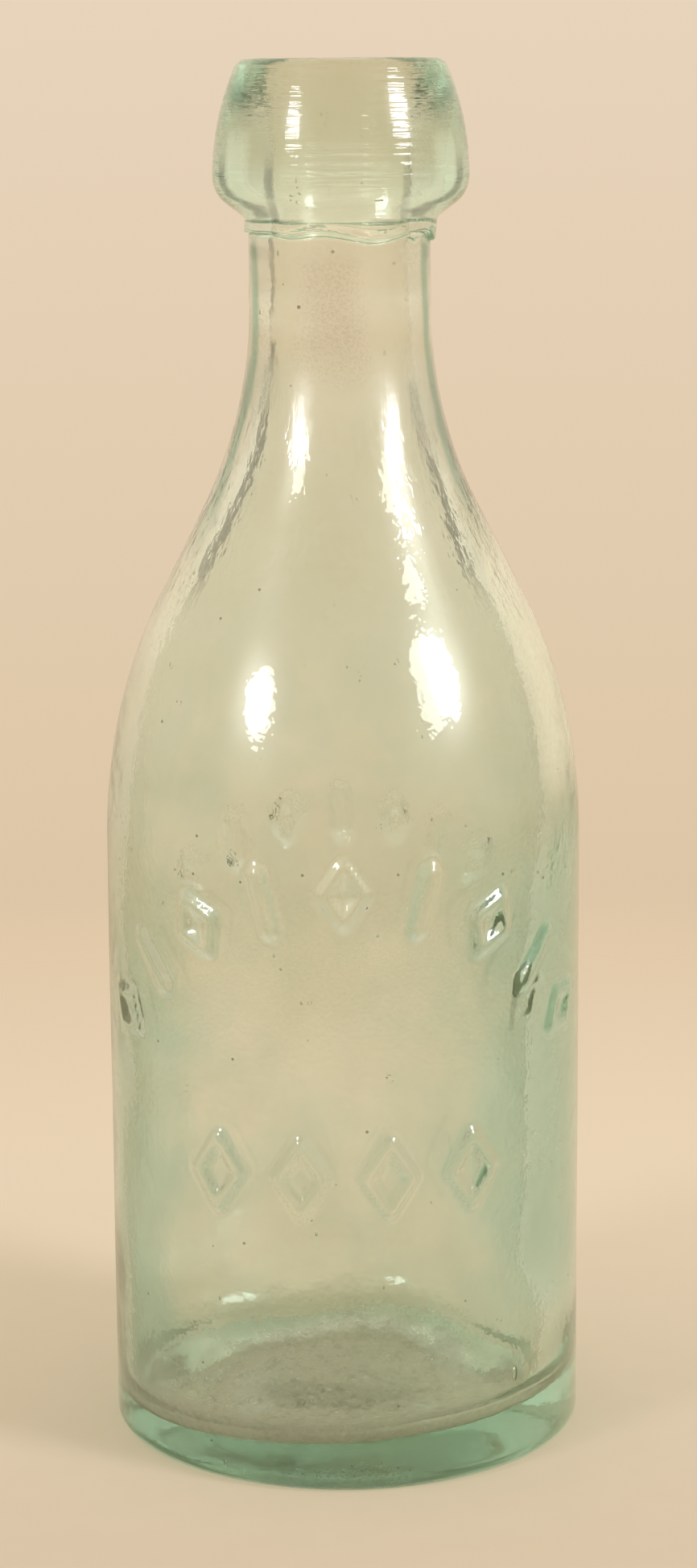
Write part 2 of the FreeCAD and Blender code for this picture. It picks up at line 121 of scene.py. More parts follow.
def outsideRuns():
    # From the middle of the push-up, round the foot, up the side and over the lip to the bore
    s, h, gap = outsideSizes, hollowSizes, meshing
    turn = s["shoulderTurn"]
    heelIn = s["bodyRadius"] - s["heelRadius"]
    dome = np.linspace(gap["pole"], s["footInner"], gap["footRings"])
    rise = s["pushUp"] * (1 - smooth(*s["pushUpFall"], dome))
    shoulder = (s["bodyRadius"] - s["shoulderRadius"], s["bodyTop"])
    sweep = (s["neckRadius"] + s["sweepRadius"], s["neckStart"])
    slopeLow = onArc(shoulder, s["shoulderRadius"], turn)
    slopeHigh = onArc(sweep, s["sweepRadius"], 180 + turn)
    hem = (s["skirtRadius"] - s["hemRadius"], s["skirtLow"] + s["hemRadius"])
    under = (s["bellyRadius"] - s["underRadius"], s["bellyHeight"])
    underEnd = onArc(under, s["underRadius"], -s["underTurn"])
    side = (s["bellyRadius"] - s["sideRadius"], s["bellyHeight"])
    edgeHeight = s["top"] - s["edgeRadius"]
    reach = s["sideRadius"] - s["edgeRadius"]
    edge = (side[0] + math.sqrt(reach ** 2 - (edgeHeight - side[1]) ** 2), edgeHeight)
    sideEnd = math.degrees(math.asin((edgeHeight - side[1]) / reach))
    mouth = (h["boreRadius"] + h["flare"] + h["mouthRadius"], s["top"] - h["mouthRadius"])
    return [
        (np.column_stack((dome, rise)), "foot", "under"),
        (straight((s["footInner"], 0), (heelIn, 0), gap["foot"]), "plain", "under"),
        (bend((heelIn, s["heelRadius"]), s["heelRadius"], -90, 0, gap["heel"]), "plain", "side"),
        (straight((s["bodyRadius"], s["heelRadius"]), (s["bodyRadius"], s["ornamentLow"]), gap["side"]),
         "plain", "side"),
        (straight((s["bodyRadius"], s["ornamentLow"]), (s["bodyRadius"], s["bodyTop"]), gap["ornament"]),
         "ornament", "side"),
        (bend(shoulder, s["shoulderRadius"], 0, s["ornamentTurn"], gap["ornamentTop"]), "ornament", "side"),
        (bend(shoulder, s["shoulderRadius"], s["ornamentTurn"], turn, gap["slope"]), "plain", "side"),
        (straight(slopeLow, slopeHigh, gap["slope"]), "plain", "side"),
        (bend(sweep, s["sweepRadius"], 180 + turn, 180, gap["slope"]), "plain", "side"),
        (straight((s["neckRadius"], s["neckStart"]), (s["neckRadius"], s["neckEnd"]), gap["neck"]),
         "plain", "side"),
        (bend(hem, s["hemRadius"], -s["hemTurn"], 0, gap["hem"]), "plain", "skirt"),
        (straight((s["skirtRadius"], hem[1]), (s["skirtRadius"], s["skirtTop"]), gap["skirt"]),
         "plain", "skirt"),
        (straight(s["seat"], underEnd, gap["lip"]), "plain", "lip"),
        (bend(under, s["underRadius"], -s["underTurn"], 0, gap["lip"]), "plain", "lip"),
        (bend(side, s["sideRadius"], 0, sideEnd, gap["lipSide"]), "plain", "lip"),
        (bend(edge, s["edgeRadius"], sideEnd, 90, gap["lip"]), "plain", "lip"),
        (straight((edge[0], s["top"]), (mouth[0], s["top"]), gap["top"]), "plain", "lip"),
        (bend(mouth, h["mouthRadius"], 90, 180, gap["mouth"]), "plain", "lip"),
    ]


def hollowRuns():
    # From the bore's top down through the throat and the hollow to the middle of the floor
    s, gap = hollowSizes, meshing
    turn = s["turn"]
    sweep = (s["throatRadius"] + s["sweepRadius"], s["throatLow"])
    shoulder = (s["wallRadius"] - s["shoulderRadius"], s["wallTop"])
    slopeHigh = onArc(sweep, s["sweepRadius"], 180 + turn)
    slopeLow = onArc(shoulder, s["shoulderRadius"], turn)
    corner = (s["wallRadius"] - s["cornerRadius"], s["floorHeight"] + s["cornerRadius"])
    ring = np.linspace(corner[0], gap["pole"], gap["floorRings"])
    crown = s["crown"] * (1 - smooth(*s["crownFall"], ring))
    boreTop = outsideSizes["top"] - s["mouthRadius"]
    taperTop = (s["boreRadius"], s["ledgeHeight"] + s["taper"])
    bore = straight((s["boreRadius"], boreTop), taperTop, gap["bore"])
    bore[:, 0] += s["flare"] * smooth(s["flareLow"], boreTop, bore[:, 1])
    return [
        (bore, "bore", "bore"),
        (straight(taperTop, (s["throatRadius"], s["throatLow"]), gap["ledge"]), "bore", "bore"),
        (bend(sweep, s["sweepRadius"], 180, 180 + turn, gap["sweep"]), "bore", "hollow"),
        (straight(slopeHigh, slopeLow, gap["hollow"]), "bore", "hollow"),
        (bend(shoulder, s["shoulderRadius"], turn, 0, gap["hollow"]), "wall", "hollow"),
        (straight((s["wallRadius"], s["wallTop"]), (s["wallRadius"], corner[1]), gap["hollow"]),
         "wall", "hollow"),
        (bend(corner, s["cornerRadius"], 0, -90, gap["corner"]), "wall", "hollow"),
        (np.column_stack((ring, s["floorHeight"] + crown)), "foot", "hollow"),
    ]


ornament = {
    "height": 0.76, "strokeHalf": 0.80, "softness": 0.66, "spearHalf": 1.15,
    "sideLoss": 0.45, "sideTurn": (0.7, 1.1),  # it is lower towards the mould's seams
    "arch": {"count": 9, "radius": 42.0, "spread": 114.0, "crown": 80.2, "width": 6.9, "tall": 10.2,
             "back": False},
    "backArch": {"count": 7, "radius": 60.0, "spread": 49.0, "crown": 78.0, "width": 5.6, "tall": 8.0,
                 "back": True},
    "row": {"count": 4, "pitch": 11.4, "height": 42.8, "width": 8.0, "tall": 12.2},
}


def motifPlaces():
    # Each place: shape, distance round the body, height, lean, width, tall, back
    places = []
    for name in ("arch", "backArch"):
        arch = ornament[name]
        for number in range(arch["count"]):
            lean = math.radians(arch["spread"] * (number / (arch["count"] - 1) - 0.5))
            across = arch["radius"] * math.sin(lean)
            height = arch["crown"] - arch["radius"] * (1 - math.cos(lean))
            shape = ("lozenge", "spear")[number % 2]
            places.append((shape, across, height, lean, arch["width"], arch["tall"], arch["back"]))
    row = ornament["row"]
    for number in range(row["count"]):
        across = row["pitch"] * (number - (row["count"] - 1) / 2)
        places.append(("lozenge", across, row["height"], 0.0, row["width"], row["tall"], False))
    return places


def ornamentHeight(angle, height):
    # How far the ornament stands proud, for arrays of angles and heights
    radius = outsideSizes["bodyRadius"]
    stroke, soft = ornament["strokeHalf"], ornament["softness"]
    total = np.zeros_like(height)
    for shape, across, middle, lean, width, tall, back in motifPlaces():
        turned = (angle - (math.pi if back else 0) + math.pi) % fullTurn - math.pi
        along, up = turned * radius - across, height - middle
        x = np.abs(along * math.cos(lean) - up * math.sin(lean))
        y = np.abs(along * math.sin(lean) + up * math.cos(lean))
        if shape == "lozenge":
            # a and b are the corners of the stroke's middle line, and off is how far a point is outside
            a = width / 2 - stroke * math.hypot(width, tall) / tall
            b = tall / 2 - stroke * math.hypot(width, tall) / width
            share = np.clip(((x - a) * -a + y * b) / (a * a + b * b), 0, 1)
            off = np.hypot(x - a * (1 - share), y - b * share) - stroke
        else:
            off = np.maximum(x - ornament["spearHalf"], (x + y - tall / 2) / math.sqrt(2))
        raised = ornament["height"] * (1 - smooth(-soft, soft, off))
        raised *= 1 - ornament["sideLoss"] * smooth(*ornament["sideTurn"], np.abs(turned))
        total = np.maximum(total, raised)
    return total


handwork = {
    # Soft waves of each skin: how far they reach, their length, octaves and place in the noise
    "waves": {
        "side": (0.10, 26, 2, 3.1), "sideRipple": (0.018, 4.5, 2, 9.4), "lip": (0.10, 15, 2, 1.7),
        "hollow": (0.26, 22, 2, 6.6), "hollowRipple": (0.009, 5.0, 1, 4.2), "bore": (0.08, 12, 2, 8.8),
        "toolWander": (0.6, 14, 1, 5.0), "toolPatches": (1.0, 6, 1, 2.2),
    },
    "stillRadius": 6.0,  # waves fade out inside this
    "shoulderRipple": 1.1, "shoulderStart": (100, 116),
    "toolDepth": 0.034, "toolPitch": 1.25, "toolLeast": 0.35,
    # The lip's seam hangs down in drips: how far, angle and spread; and in fine waves: how far, count, shift
    "drips": [(1.15, 24, 17), (1.35, 82, 11), (0.5, -32, 12), (0.35, -86, 9), (0.7, 150, 22),
              (0.5, -140, 25)],
    "seamWaves": [(0.10, 5, 1.0), (0.06, 11, 0.0)],
    "dripStart": 158.5, "dripEnd": 163.0,  # heights between which the rings follow the drips
    "lipShift": 0.3, "lipShiftStart": (160, 165),
    # The wall is thicker on the right, and the hollow's corner at the back
    "thickSide": 1.0, "thickTurn": 72, "thickSpread": 34, "thickHeights": (14, 28, 72, 90),
    "backCorner": 1.7, "cornerOut": (17, 28.25), "cornerUp": (5, 17), "cornerShare": (0.1, 0.85),
    "cornerTurn": (70, 135),
    # angle, height, half angle, half height and push of slopes left by the mould's shoulder
    "slopes": [(28, 125, 20, 7.5, 0.55), (-24, 129, 16, 5.0, -0.32)],
}


def columnAngles(name):
    # Close columns where the ornament is, wide ones elsewhere
    m = meshing
    if name == "ornament":
        front = np.radians(np.arange(-m["frontEnd"], m["frontEnd"] + 0.01, m["frontStep"]))
        back = np.radians(np.arange(m["backStart"], m["backEnd"] + 0.01, m["backStep"]))
        right = np.radians(np.linspace(m["frontEnd"], m["backStart"], m["sideColumns"])[1:-1])
        left = np.radians(np.linspace(m["backEnd"], 360 - m["frontEnd"], m["sideColumns"])[1:-1])
        return np.sort(np.concatenate((front, right, back, left)) % fullTurn)
    return np.radians(np.arange(m["columns"][name]) * 360 / m["columns"][name])


def softWave(name, point):
    # Irregular waves in space; each octave is half as high and about half as long as the last
    most, length, octaves, offset = handwork["waves"][name]
    total, gain = 0.0, 1.0
    place = Vector(point) / length + Vector((offset, -offset, 2 * offset))
    for _ in range(octaves):
        total += gain * noise.noise(place)
        place = place * 2.03
        gain *= 0.5
    return most * total


def skinWave(skin, point, height):
    # How far blowing and tooling moved one point of a skin out
    if skin in ("side", "skirt"):
        ripple = 1 + handwork["shoulderRipple"] * smooth(*handwork["shoulderStart"], height)
        return softWave("side", point) + ripple * softWave("sideRipple", point)
    if skin == "lip":
        lines = math.sin(fullTurn * (height / handwork["toolPitch"] + softWave("toolWander", point)))
        patches = max(0.0, softWave("toolPatches", point) + handwork["toolLeast"])
        return softWave("lip", point) + handwork["toolDepth"] * lines * patches
    if skin == "hollow":
        return softWave("hollow", point) + softWave("hollowRipple", point)
    return softWave("bore", point) if skin == "bore" else 0.0


def seamDrop(angle):
    # How far the lapped seam of the lip hangs below its usual height, round the neck
    drop = sum(most * bump(degreesFrom(0, angle), turn, spread) for most, turn, spread in handwork["drips"])
    return drop + sum(most * np.sin(count * angle + shift) for most, count, shift in handwork["seamWaves"])


def shapeRing(ring, normal, angles):
    radius, height, _, skin = ring
    s, h = outsideSizes, hollowSizes
    heights, push = np.full_like(angles, height), np.zeros_like(angles)
    if skin in ("skirt", "side"):
        near = between(handwork["dripStart"], s["skirtLow"], handwork["dripEnd"], s["skirtTop"], height)
        heights = heights - seamDrop(angles) * near
    if skin == "side":
        push = push + ornamentHeight(angles, heights)
    points = np.column_stack((radius * np.sin(angles), -radius * np.cos(angles), heights))
    wave = np.array([skinWave(skin, point, height) for point in points])
    push = push + wave * min(radius / handwork["stillRadius"], 1)
    if skin == "side":
        for turn, middle, spread, tall, most in handwork["slopes"]:
            share = (height - middle) / tall
            lean = most * share * math.exp(-share * share)
            push = push + lean * bump(degreesFrom(0, angles), turn, spread)
    if skin == "hollow":
        thick = bump(degreesFrom(handwork["thickTurn"], angles), 0, handwork["thickSpread"])
        push = push + handwork["thickSide"] * thick * between(*handwork["thickHeights"], height)
        corner = (np.interp(radius, handwork["cornerOut"], (0, 1))
                  * np.interp(height, handwork["cornerUp"], (1, 0)))
        atBack = smooth(*handwork["cornerTurn"], np.abs(degreesFrom(0, angles)))
        push = push + handwork["backCorner"] * smooth(*handwork["cornerShare"], corner) * atBack
    radii = radius + normal[0] * push
    heights = heights + normal[1] * push
    x, y = radii * np.sin(angles), -radii * np.cos(angles)
    if skin in ("hollow", "bore"):
        slope = math.tan(math.radians(h["floorSlope"])) * (1 - smooth(*h["slopeFades"], height))
        heights = heights + slope * x
        x = x - np.clip(h["ledgeHeight"] - heights, 0, None) * math.sin(math.radians(h["lean"]))
    x = x + handwork["lipShift"] * smooth(*handwork["lipShiftStart"], heights)
    return np.column_stack((x, y, np.maximum(heights, 0)))


def stitch(low, high, lowAngles, highAngles):
    # Faces between two rings, each a run of point numbers at the given angles
    lowCount, highCount = len(low), len(high)
    if lowCount == highCount:
        return [(low[i], low[(i + 1) % lowCount], high[(i + 1) % lowCount], high[i]) for i in range(lowCount)]
    lowNext = [*lowAngles[1:], lowAngles[0] + fullTurn, math.inf]
    highNext = [*highAngles[1:], highAngles[0] + fullTurn, math.inf]
    faces, i, j = [], 0, 0
    while i < lowCount or j < highCount:
        if lowNext[i] <= highNext[j]:
            faces.append((low[i % lowCount], low[(i + 1) % lowCount], high[j % highCount]))
            i += 1
        else:
            faces.append((low[i % lowCount], high[(j + 1) % highCount], high[j % highCount]))
            j += 1
    return faces


seeds = {
    "seed": 7, "count": 60, "sizes": (0.07, 0.18), "stretch": (1.0, 2.6), "heights": (11, 176),
    "cover": 0.4, "flat": 0.25,  # the least glass over a bubble, and its most half depth
    "rows": 5, "around": 8, "outsideFrom": 11.5,
    # angle, height, radius, half width, half height of the larger ones
    "large": [(46, 12.6, 30.2, 0.55, 1.15), (-31, 2.4, 30.6, 0.22, 0.45), (19, 166.4, 16.0, 0.62, 0.14),
              (-22, 167.0, 15.7, 0.34, 0.16), (-20, 166.2, 15.8, 0.20, 0.24), (-18, 167.3, 15.6, 0.26, 0.14),
              (-16, 165.5, 15.2, 0.16, 0.20), (-23, 166.4, 15.9, 0.15, 0.13), (-19, 168.0, 15.9, 0.13, 0.12)],
}


def bubblePlaces(rings):
    # Angle, height, distance out, half width and half height of every bubble, all inside the wall
    outer = sorted((height, radius) for radius, height, _, skin in rings
                   if skin in ("side", "lip") and radius > seeds["outsideFrom"])
    hollow = sorted((height, radius) for radius, height, _, skin in rings if skin in ("hollow", "bore"))
    outer, hollow = list(zip(*outer)), list(zip(*hollow))
    wanted = [(math.radians(turn), *rest) for turn, *rest in seeds["large"]]
    random.seed(seeds["seed"])
    for _ in range(seeds["count"]):
        height = random.uniform(*seeds["heights"])
        radius = (np.interp(height, *outer) + np.interp(height, *hollow)) / 2
        size = random.uniform(*seeds["sizes"])
        wanted.append((random.uniform(0, fullTurn), height, radius, size,
                       size * random.uniform(*seeds["stretch"])))
    return [(angle, height, min(radius, np.interp(height, *outer) - seeds["cover"]), across, tall)
            for angle, height, radius, across, tall in wanted]


def addBubble(points, faces, place):
    # A little closed ball whose faces look inwards
    angle, height, radius, across, tall = place
    rows, around = seeds["rows"], seeds["around"]
    centre = np.array((radius * math.sin(angle), -radius * math.cos(angle), height))
    sideways = np.array((math.cos(angle), math.sin(angle), 0)) * across
    outwards = np.array((math.sin(angle), -math.cos(angle), 0)) * min(across, seeds["flat"])
    start = len(points)
    points.append(centre + (0, 0, tall))
    for row in range(1, rows):
        lift = math.pi * row / rows
        for step in range(around):
            turn = fullTurn * step / around
            flat = sideways * math.cos(turn) + outwards * math.sin(turn)
            points.append(centre + math.sin(lift) * flat + (0, 0, tall * math.cos(lift)))
    points.append(centre - (0, 0, tall))
    last = len(points) - 1
    foot = start + 1 + (rows - 2) * around
    for step in range(around):
        following = (step + 1) % around
        faces.append((start, start + 1 + step, start + 1 + following))
        for row in range(rows - 2):
            a, b = start + 1 + row * around + step, start + 1 + row * around + following
            faces.append((a, a + around, b + around, b))
        faces.append((last, foot + following, foot + step))


def buildBottle():
    rings = joinRuns(outsideRuns() + hollowRuns())
    outline = np.array([ring[:2] for ring in rings])
    tangents = np.gradient(outline, axis=0)
    tangents /= np.linalg.norm(tangents, axis=1)[:, None]
    normals = np.column_stack((tangents[:, 1], -tangents[:, 0]))
    points, faces, rows, inner = [np.array((0, 0, outsideSizes["pushUp"]))], [], [], [0.0]
    for ring, normal in zip(rings, normals):
        angles = columnAngles(ring[2])
        shaped = shapeRing(ring, normal, angles)
        rows.append((list(range(len(points), len(points) + len(shaped))), angles))
        points.extend(shaped)
        inner += [1.0 if ring[3] in ("hollow", "bore") else 0.0] * len(shaped)
    first, last = rows[0][0], rows[-1][0]
    pole = len(points)
    points.append(np.mean([points[i] for i in last], axis=0))
    inner.append(1.0)
    for (low, lowAngles), (high, highAngles) in zip(rows, rows[1:]):
        faces.extend(stitch(low, high, lowAngles, highAngles))
    faces.extend((0, first[(i + 1) % len(first)], first[i]) for i in range(len(first)))
    faces.extend((last[i], last[(i + 1) % len(last)], pole) for i in range(len(last)))
    for place in bubblePlaces(rings):
        addBubble(points, faces, place)
    inner += [0.0] * (len(points) - len(inner))
    mesh = bpy.data.meshes.new("bottle_glass")
    mesh.from_pydata([Vector(point) * mm for point in points], [], faces)
    mesh.attributes.new("innerSkin", "FLOAT", "POINT").data.foreach_set("value", inner)
    mesh.update()
    mesh.shade_smooth()
    bottle = bpy.data.objects.new("bottle_glass", mesh)
    bpy.context.scene.collection.objects.link(bottle)
    print("bottle blown:", len(points), "points,", sum(len(face) - 2 for face in faces), "triangles")
    return bottle


class Wire:
    # One socket of a node tree; arithmetic on it adds Math nodes

    def __init__(self, tree, socket=None):
        self.tree, self.socket = tree, socket

    def node(self, kind, settings, sockets, out=0):
        made = self.tree.nodes.new(kind)
        for name, value in settings.items():
            if name == "stops":
                ramp = made.color_ramp.elements
                while len(ramp) < len(value):
                    ramp.new(1.0)
                for element, (place, colour) in zip(ramp, value):
                    element.position = place
                    element.color = (*colour, 1.0)
            else:
                setattr(made, name, value)
        for name, value in sockets.items():
            if isinstance(value, Wire):
                self.tree.links.new(value.socket, made.inputs[name])
            else:
                made.inputs[name].default_value = value
        return Wire(self.tree, made.outputs[out] if made.outputs else None)

    def beside(self, name):
        # Another output of the same node
        return Wire(self.tree, self.socket.node.outputs[name])

    def sum(self, operation, first, second):
        return self.node("ShaderNodeMath", {"operation": operation}, {0: first, 1: second})

    def __add__(self, other):
        return self.sum("ADD", self, other)

    def __sub__(self, other):
        return self.sum("SUBTRACT", self, other)

    def __rsub__(self, other):
        return self.sum("SUBTRACT", other, self)

    def __mul__(self, other):
        return self.sum("MULTIPLY", self, other)

    def __truediv__(self, other):
        return self.sum("DIVIDE", self, other)

    def __rtruediv__(self, other):
        return self.sum("DIVIDE", other, self)

    def __pow__(self, other):
        return self.sum("POWER", self, other)

    def __rpow__(self, other):
        return self.sum("POWER", other, self)

    __radd__, __rmul__ = __add__, __mul__

    def above(self, low, high):
        # 0 under low, 1 over high, and a smooth climb between
        return self.node("ShaderNodeMapRange", {"interpolation_type": "SMOOTHSTEP"},
                         {"Value": self, "From Min": low, "From Max": high})

    def under(self, full, high):
        # 1 under full, 0 over high
        return 1 - self.above(full, high)

    def within(self, low, full, fade, high):
        # 1 between full and fade, falling to 0 at low and high
        return self.above(low, full) * self.under(fade, high)

    def sway(self, most):
        # A noise turned into a shift either way
        return (self - 0.5) * most

    def atMost(self, most):
        return self.sum("MINIMUM", self, most)

    def blend(self, first, second, way="MIX"):
        # Two colours, by this value
        colours = {6: first, 7: second}
        for socket, colour in colours.items():
            if not isinstance(colour, Wire):
                colours[socket] = (*colour, 1.0)
        return self.node("ShaderNodeMix", {"data_type": "RGBA", "blend_type": way}, {0: self, **colours}, 2)

    def cover(self, under, over):
        # Two shaders, by this value
        return self.node("ShaderNodeMixShader", {}, {0: self, 1: under, 2: over})

    def matt(self, colour, roughness):
        # A plain shader of one colour, or of a wire that carries colours
        if not isinstance(colour, Wire):
            colour = (*colour, 1.0)
        return self.node("ShaderNodeBsdfPrincipled", {}, {"Base Color": colour, "Roughness": roughness})


def newMaterial(name):
    material = bpy.data.materials.new(name)
    material.use_nodes = True
    material.node_tree.nodes.clear()
    return material, Wire(material.node_tree)


class Spot:
    # What the layers of the glass share: where a point of it lies, in millimetres, how far it is
    # turned from the eye, which skin it is on, and six noises

    def __init__(self, start):
        self.start = start
        self.place = start.node("ShaderNodeTexCoord", {}, {}, "Object")
        split = start.node("ShaderNodeSeparateXYZ", {}, {0: self.place})
        axes = (split, split.beside("Y"), split.beside("Z"))
        self.x, self.y, self.height = [axis * (1 / mm) for axis in axes]
        self.fromAxis = (self.x * self.x + self.y * self.y) ** 0.5
        self.inner = start.node("ShaderNodeAttribute", {"attribute_name": "innerSkin"}, {}, "Fac")
        self.outer = 1 - self.inner
        self.facing = start.node("ShaderNodeLayerWeight", {}, {"Blend": 0.5}, "Facing")
        self.fineGrit = self.cloud(0.34, 0.6)
        self.grit = self.cloud(0.9, 0.7, 3.0)
        self.scuffs = self.cloud(1.5, 0.7)
        self.mottle = self.cloud(3.2, 0.65)
        self.patches = self.cloud(11.0)
        self.drift = self.cloud(19.0)

    def cloud(self, size, roughness=0.55, detail=2.0, at=None):
        return self.start.node("ShaderNodeTexNoise", {}, {
            "Vector": at or self.place, "Scale": 1 / (mm * size), "Detail": detail,
            "Roughness": roughness}, "Fac")


clearLook = {
    "ior": 1.5, "tint": (0.11, 0.70, 0.52), "density": 20.0, "coat": 0.6, "coatRoughness": 0.22,
    "clear": (0.990, 1.0, 0.962), "warm": (1.0, 0.978, 0.92), "teal": (0.76, 0.91, 0.89),
    # The colours named for edges are painted shade: darker and more teal where the glass is turned from the
    # eye
    "blotch": (0.925, 0.965, 0.935), "bodyEdgeShade": (0.74, 0.83, 0.755), "upperEdgeShade": (0.965, 0.915, 0.82),
    "tealEdgeShade": (0.22, 0.46, 0.34),
    # Heights between which each of these lies, and how far the glass is turned from the eye there
    "foot": (3.0, 9.0), "neck": (136, 152), "blotches": (6, 12, 90, 120),
    "bodyEdgeShadeHeights": (8, 14, 80, 112), "bodyTurned": (0.15, 0.85),
    "upperEdgeShadeHeights": (84, 104, 150, 158), "upperTurned": (0.32, 0.64),
    "tealEdgeShadeHeights": (117, 132, 160, 162), "tealTurned": (0.52, 0.62, 0.70, 0.82),
    # Where the wall is thick: how far out to the side, and up to what height
    "thickRight": (14.0, 27.0), "thickRightHeights": (12, 26, 70, 90),
    "thickLeft": (20.0, 29.0), "thickLeftTop": (60, 84),
    # Scuffs all over, and a rubbed patch low on the neck
    "scuff": 0.05, "rub": 0.20, "rubStart": (135.0, 138.0), "rubEnd": (143.0, 150.0),
    # Streaks: their squeeze in x, y and z under and in the lip, and how deep they are
    "streaks": (0.8, 0.8, 0.14), "lipStreaks": (0.10, 0.10, 1.7), "lipStart": (158, 160),
    "streakDepth": 0.25, "shoulderStreaks": 3.2, "shoulder": (108, 116, 140, 152), "flatOn": (0.30, 0.58),
    "toolStreaks": 3.4, "toolStart": (164, 166), "bumpStrength": 0.35, "bumpDepth": 0.0001,
}


def clearGlass(spot):
    # A little wear, streaks drawn up the shoulder and turned round the lip, more teal in a thick wall, and
    # painted shade that darkens and tints the edges where the glass is turned from the eye
    start, look, x, height = spot.start, clearLook, spot.x, spot.height
    squeeze = height.above(*look["lipStart"]).blend(look["streaks"], look["lipStreaks"])
    squeezed = start.node("ShaderNodeVectorMath", {"operation": "MULTIPLY"},
                          {0: spot.place, 1: squeeze}, "Vector")
    streaks = spot.cloud(1.0, 0.5, at=squeezed)
    rubbed = (height + streaks.sway(26) + x * 0.25).above(*look["rubStart"]) * height.under(*look["rubEnd"])
    wear = spot.scuffs.above(0.58, 0.85) * look["scuff"] + rubbed * look["rub"]
    drawn = look["streakDepth"] + height.within(*look["shoulder"]) * look["shoulderStreaks"]
    turned = height.above(*look["toolStart"]) * look["toolStreaks"]
    depth = (drawn * spot.facing.under(*look["flatOn"]) + turned) * spot.outer
    grain = start.node("ShaderNodeBump", {}, {
        "Strength": look["bumpStrength"], "Distance": look["bumpDepth"],
        "Height": spot.cloud(2.2, 0.65) + streaks * depth})
    thick = (x + spot.patches.sway(16)).above(*look["thickRight"])
    thick = thick * height.within(*look["thickRightHeights"])
    thickLeft = (-1.0 * x + spot.patches.sway(12)).above(*look["thickLeft"])
    thick = thick + thickLeft * height.under(*look["thickLeftTop"])
    colour = height.above(*look["neck"]).blend(look["clear"], look["warm"])
    colour = height.above(*look["foot"]).blend((1.0, 1.0, 1.0), colour)
    blotches = spot.patches.above(0.42, 0.62) * height.within(*look["blotches"])
    colour = blotches.blend(colour, look["blotch"])
    colour = thick.atMost(1.0).blend(colour, look["teal"])
    # Painted shade: the glass is darkened and tinted teal where it is turned from the eye
    bodyEdgeShade = spot.outer * spot.facing.above(*look["bodyTurned"]) * height.within(*look["bodyEdgeShadeHeights"])
    colour = bodyEdgeShade.blend(colour, look["bodyEdgeShade"], "MULTIPLY")
    upperEdgeShade = spot.outer * spot.facing.above(*look["upperTurned"]) * height.within(*look["upperEdgeShadeHeights"])
    colour = upperEdgeShade.blend(colour, look["upperEdgeShade"], "MULTIPLY")
    tealEdgeShade = (spot.facing + spot.drift.sway(0.2)).within(*look["tealTurned"])
    tealEdgeShade = spot.outer * tealEdgeShade * height.within(*look["tealEdgeShadeHeights"])
    return start.node("ShaderNodeBsdfPrincipled", {}, {
        "Base Color": tealEdgeShade.blend(colour, look["tealEdgeShade"]), "Roughness": wear, "IOR": look["ior"],
        "Transmission Weight": 1.0, "Coat Weight": look["coat"], "Coat Roughness": look["coatRoughness"],
        "Normal": grain})


filmLook = {
    "colour": (0.44, 0.41, 0.23), "pale": (0.60, 0.56, 0.36), "neckColour": (0.56, 0.43, 0.33),
    # The next two colours are for the painted reflections on the shoulder and the lip
    "bandReflectionColour": (0.92, 0.86, 0.64), "lipReflectionColour": (0.86, 0.93, 0.72), "roughness": 0.38, "most": 0.75,
    "inside": 0.034, "outside": 0.016, "upperLoss": 0.7, "upper": (60, 110),
    "floorLine": (5.4, 6.8, 7.5, 10.0),
    # Painted reflections: pale bands up both sides of the shoulder, and on both sides of the lip
    "bandRight": (9, 16), "bandLeft": (-16, -9), "bandLeftShare": 0.22, "reflectionBand": (86, 97, 116, 130),
    "bandTurned": (0.42, 0.62, 0.84, 0.97), "bandShare": 0.34, "bandGrit": 0.16,
    "lip": (163.5, 166.5, 172.0, 176.5), "lipTurned": (0.27, 0.39, 0.50, 0.60), "lipShare": 0.42,
    "lipRightLoss": 0.16, "bandColours": (140, 160),
    # Haze of fine grit inside the neck
    "neckHaze": 0.16, "neck": (139, 147, 157, 161),
}


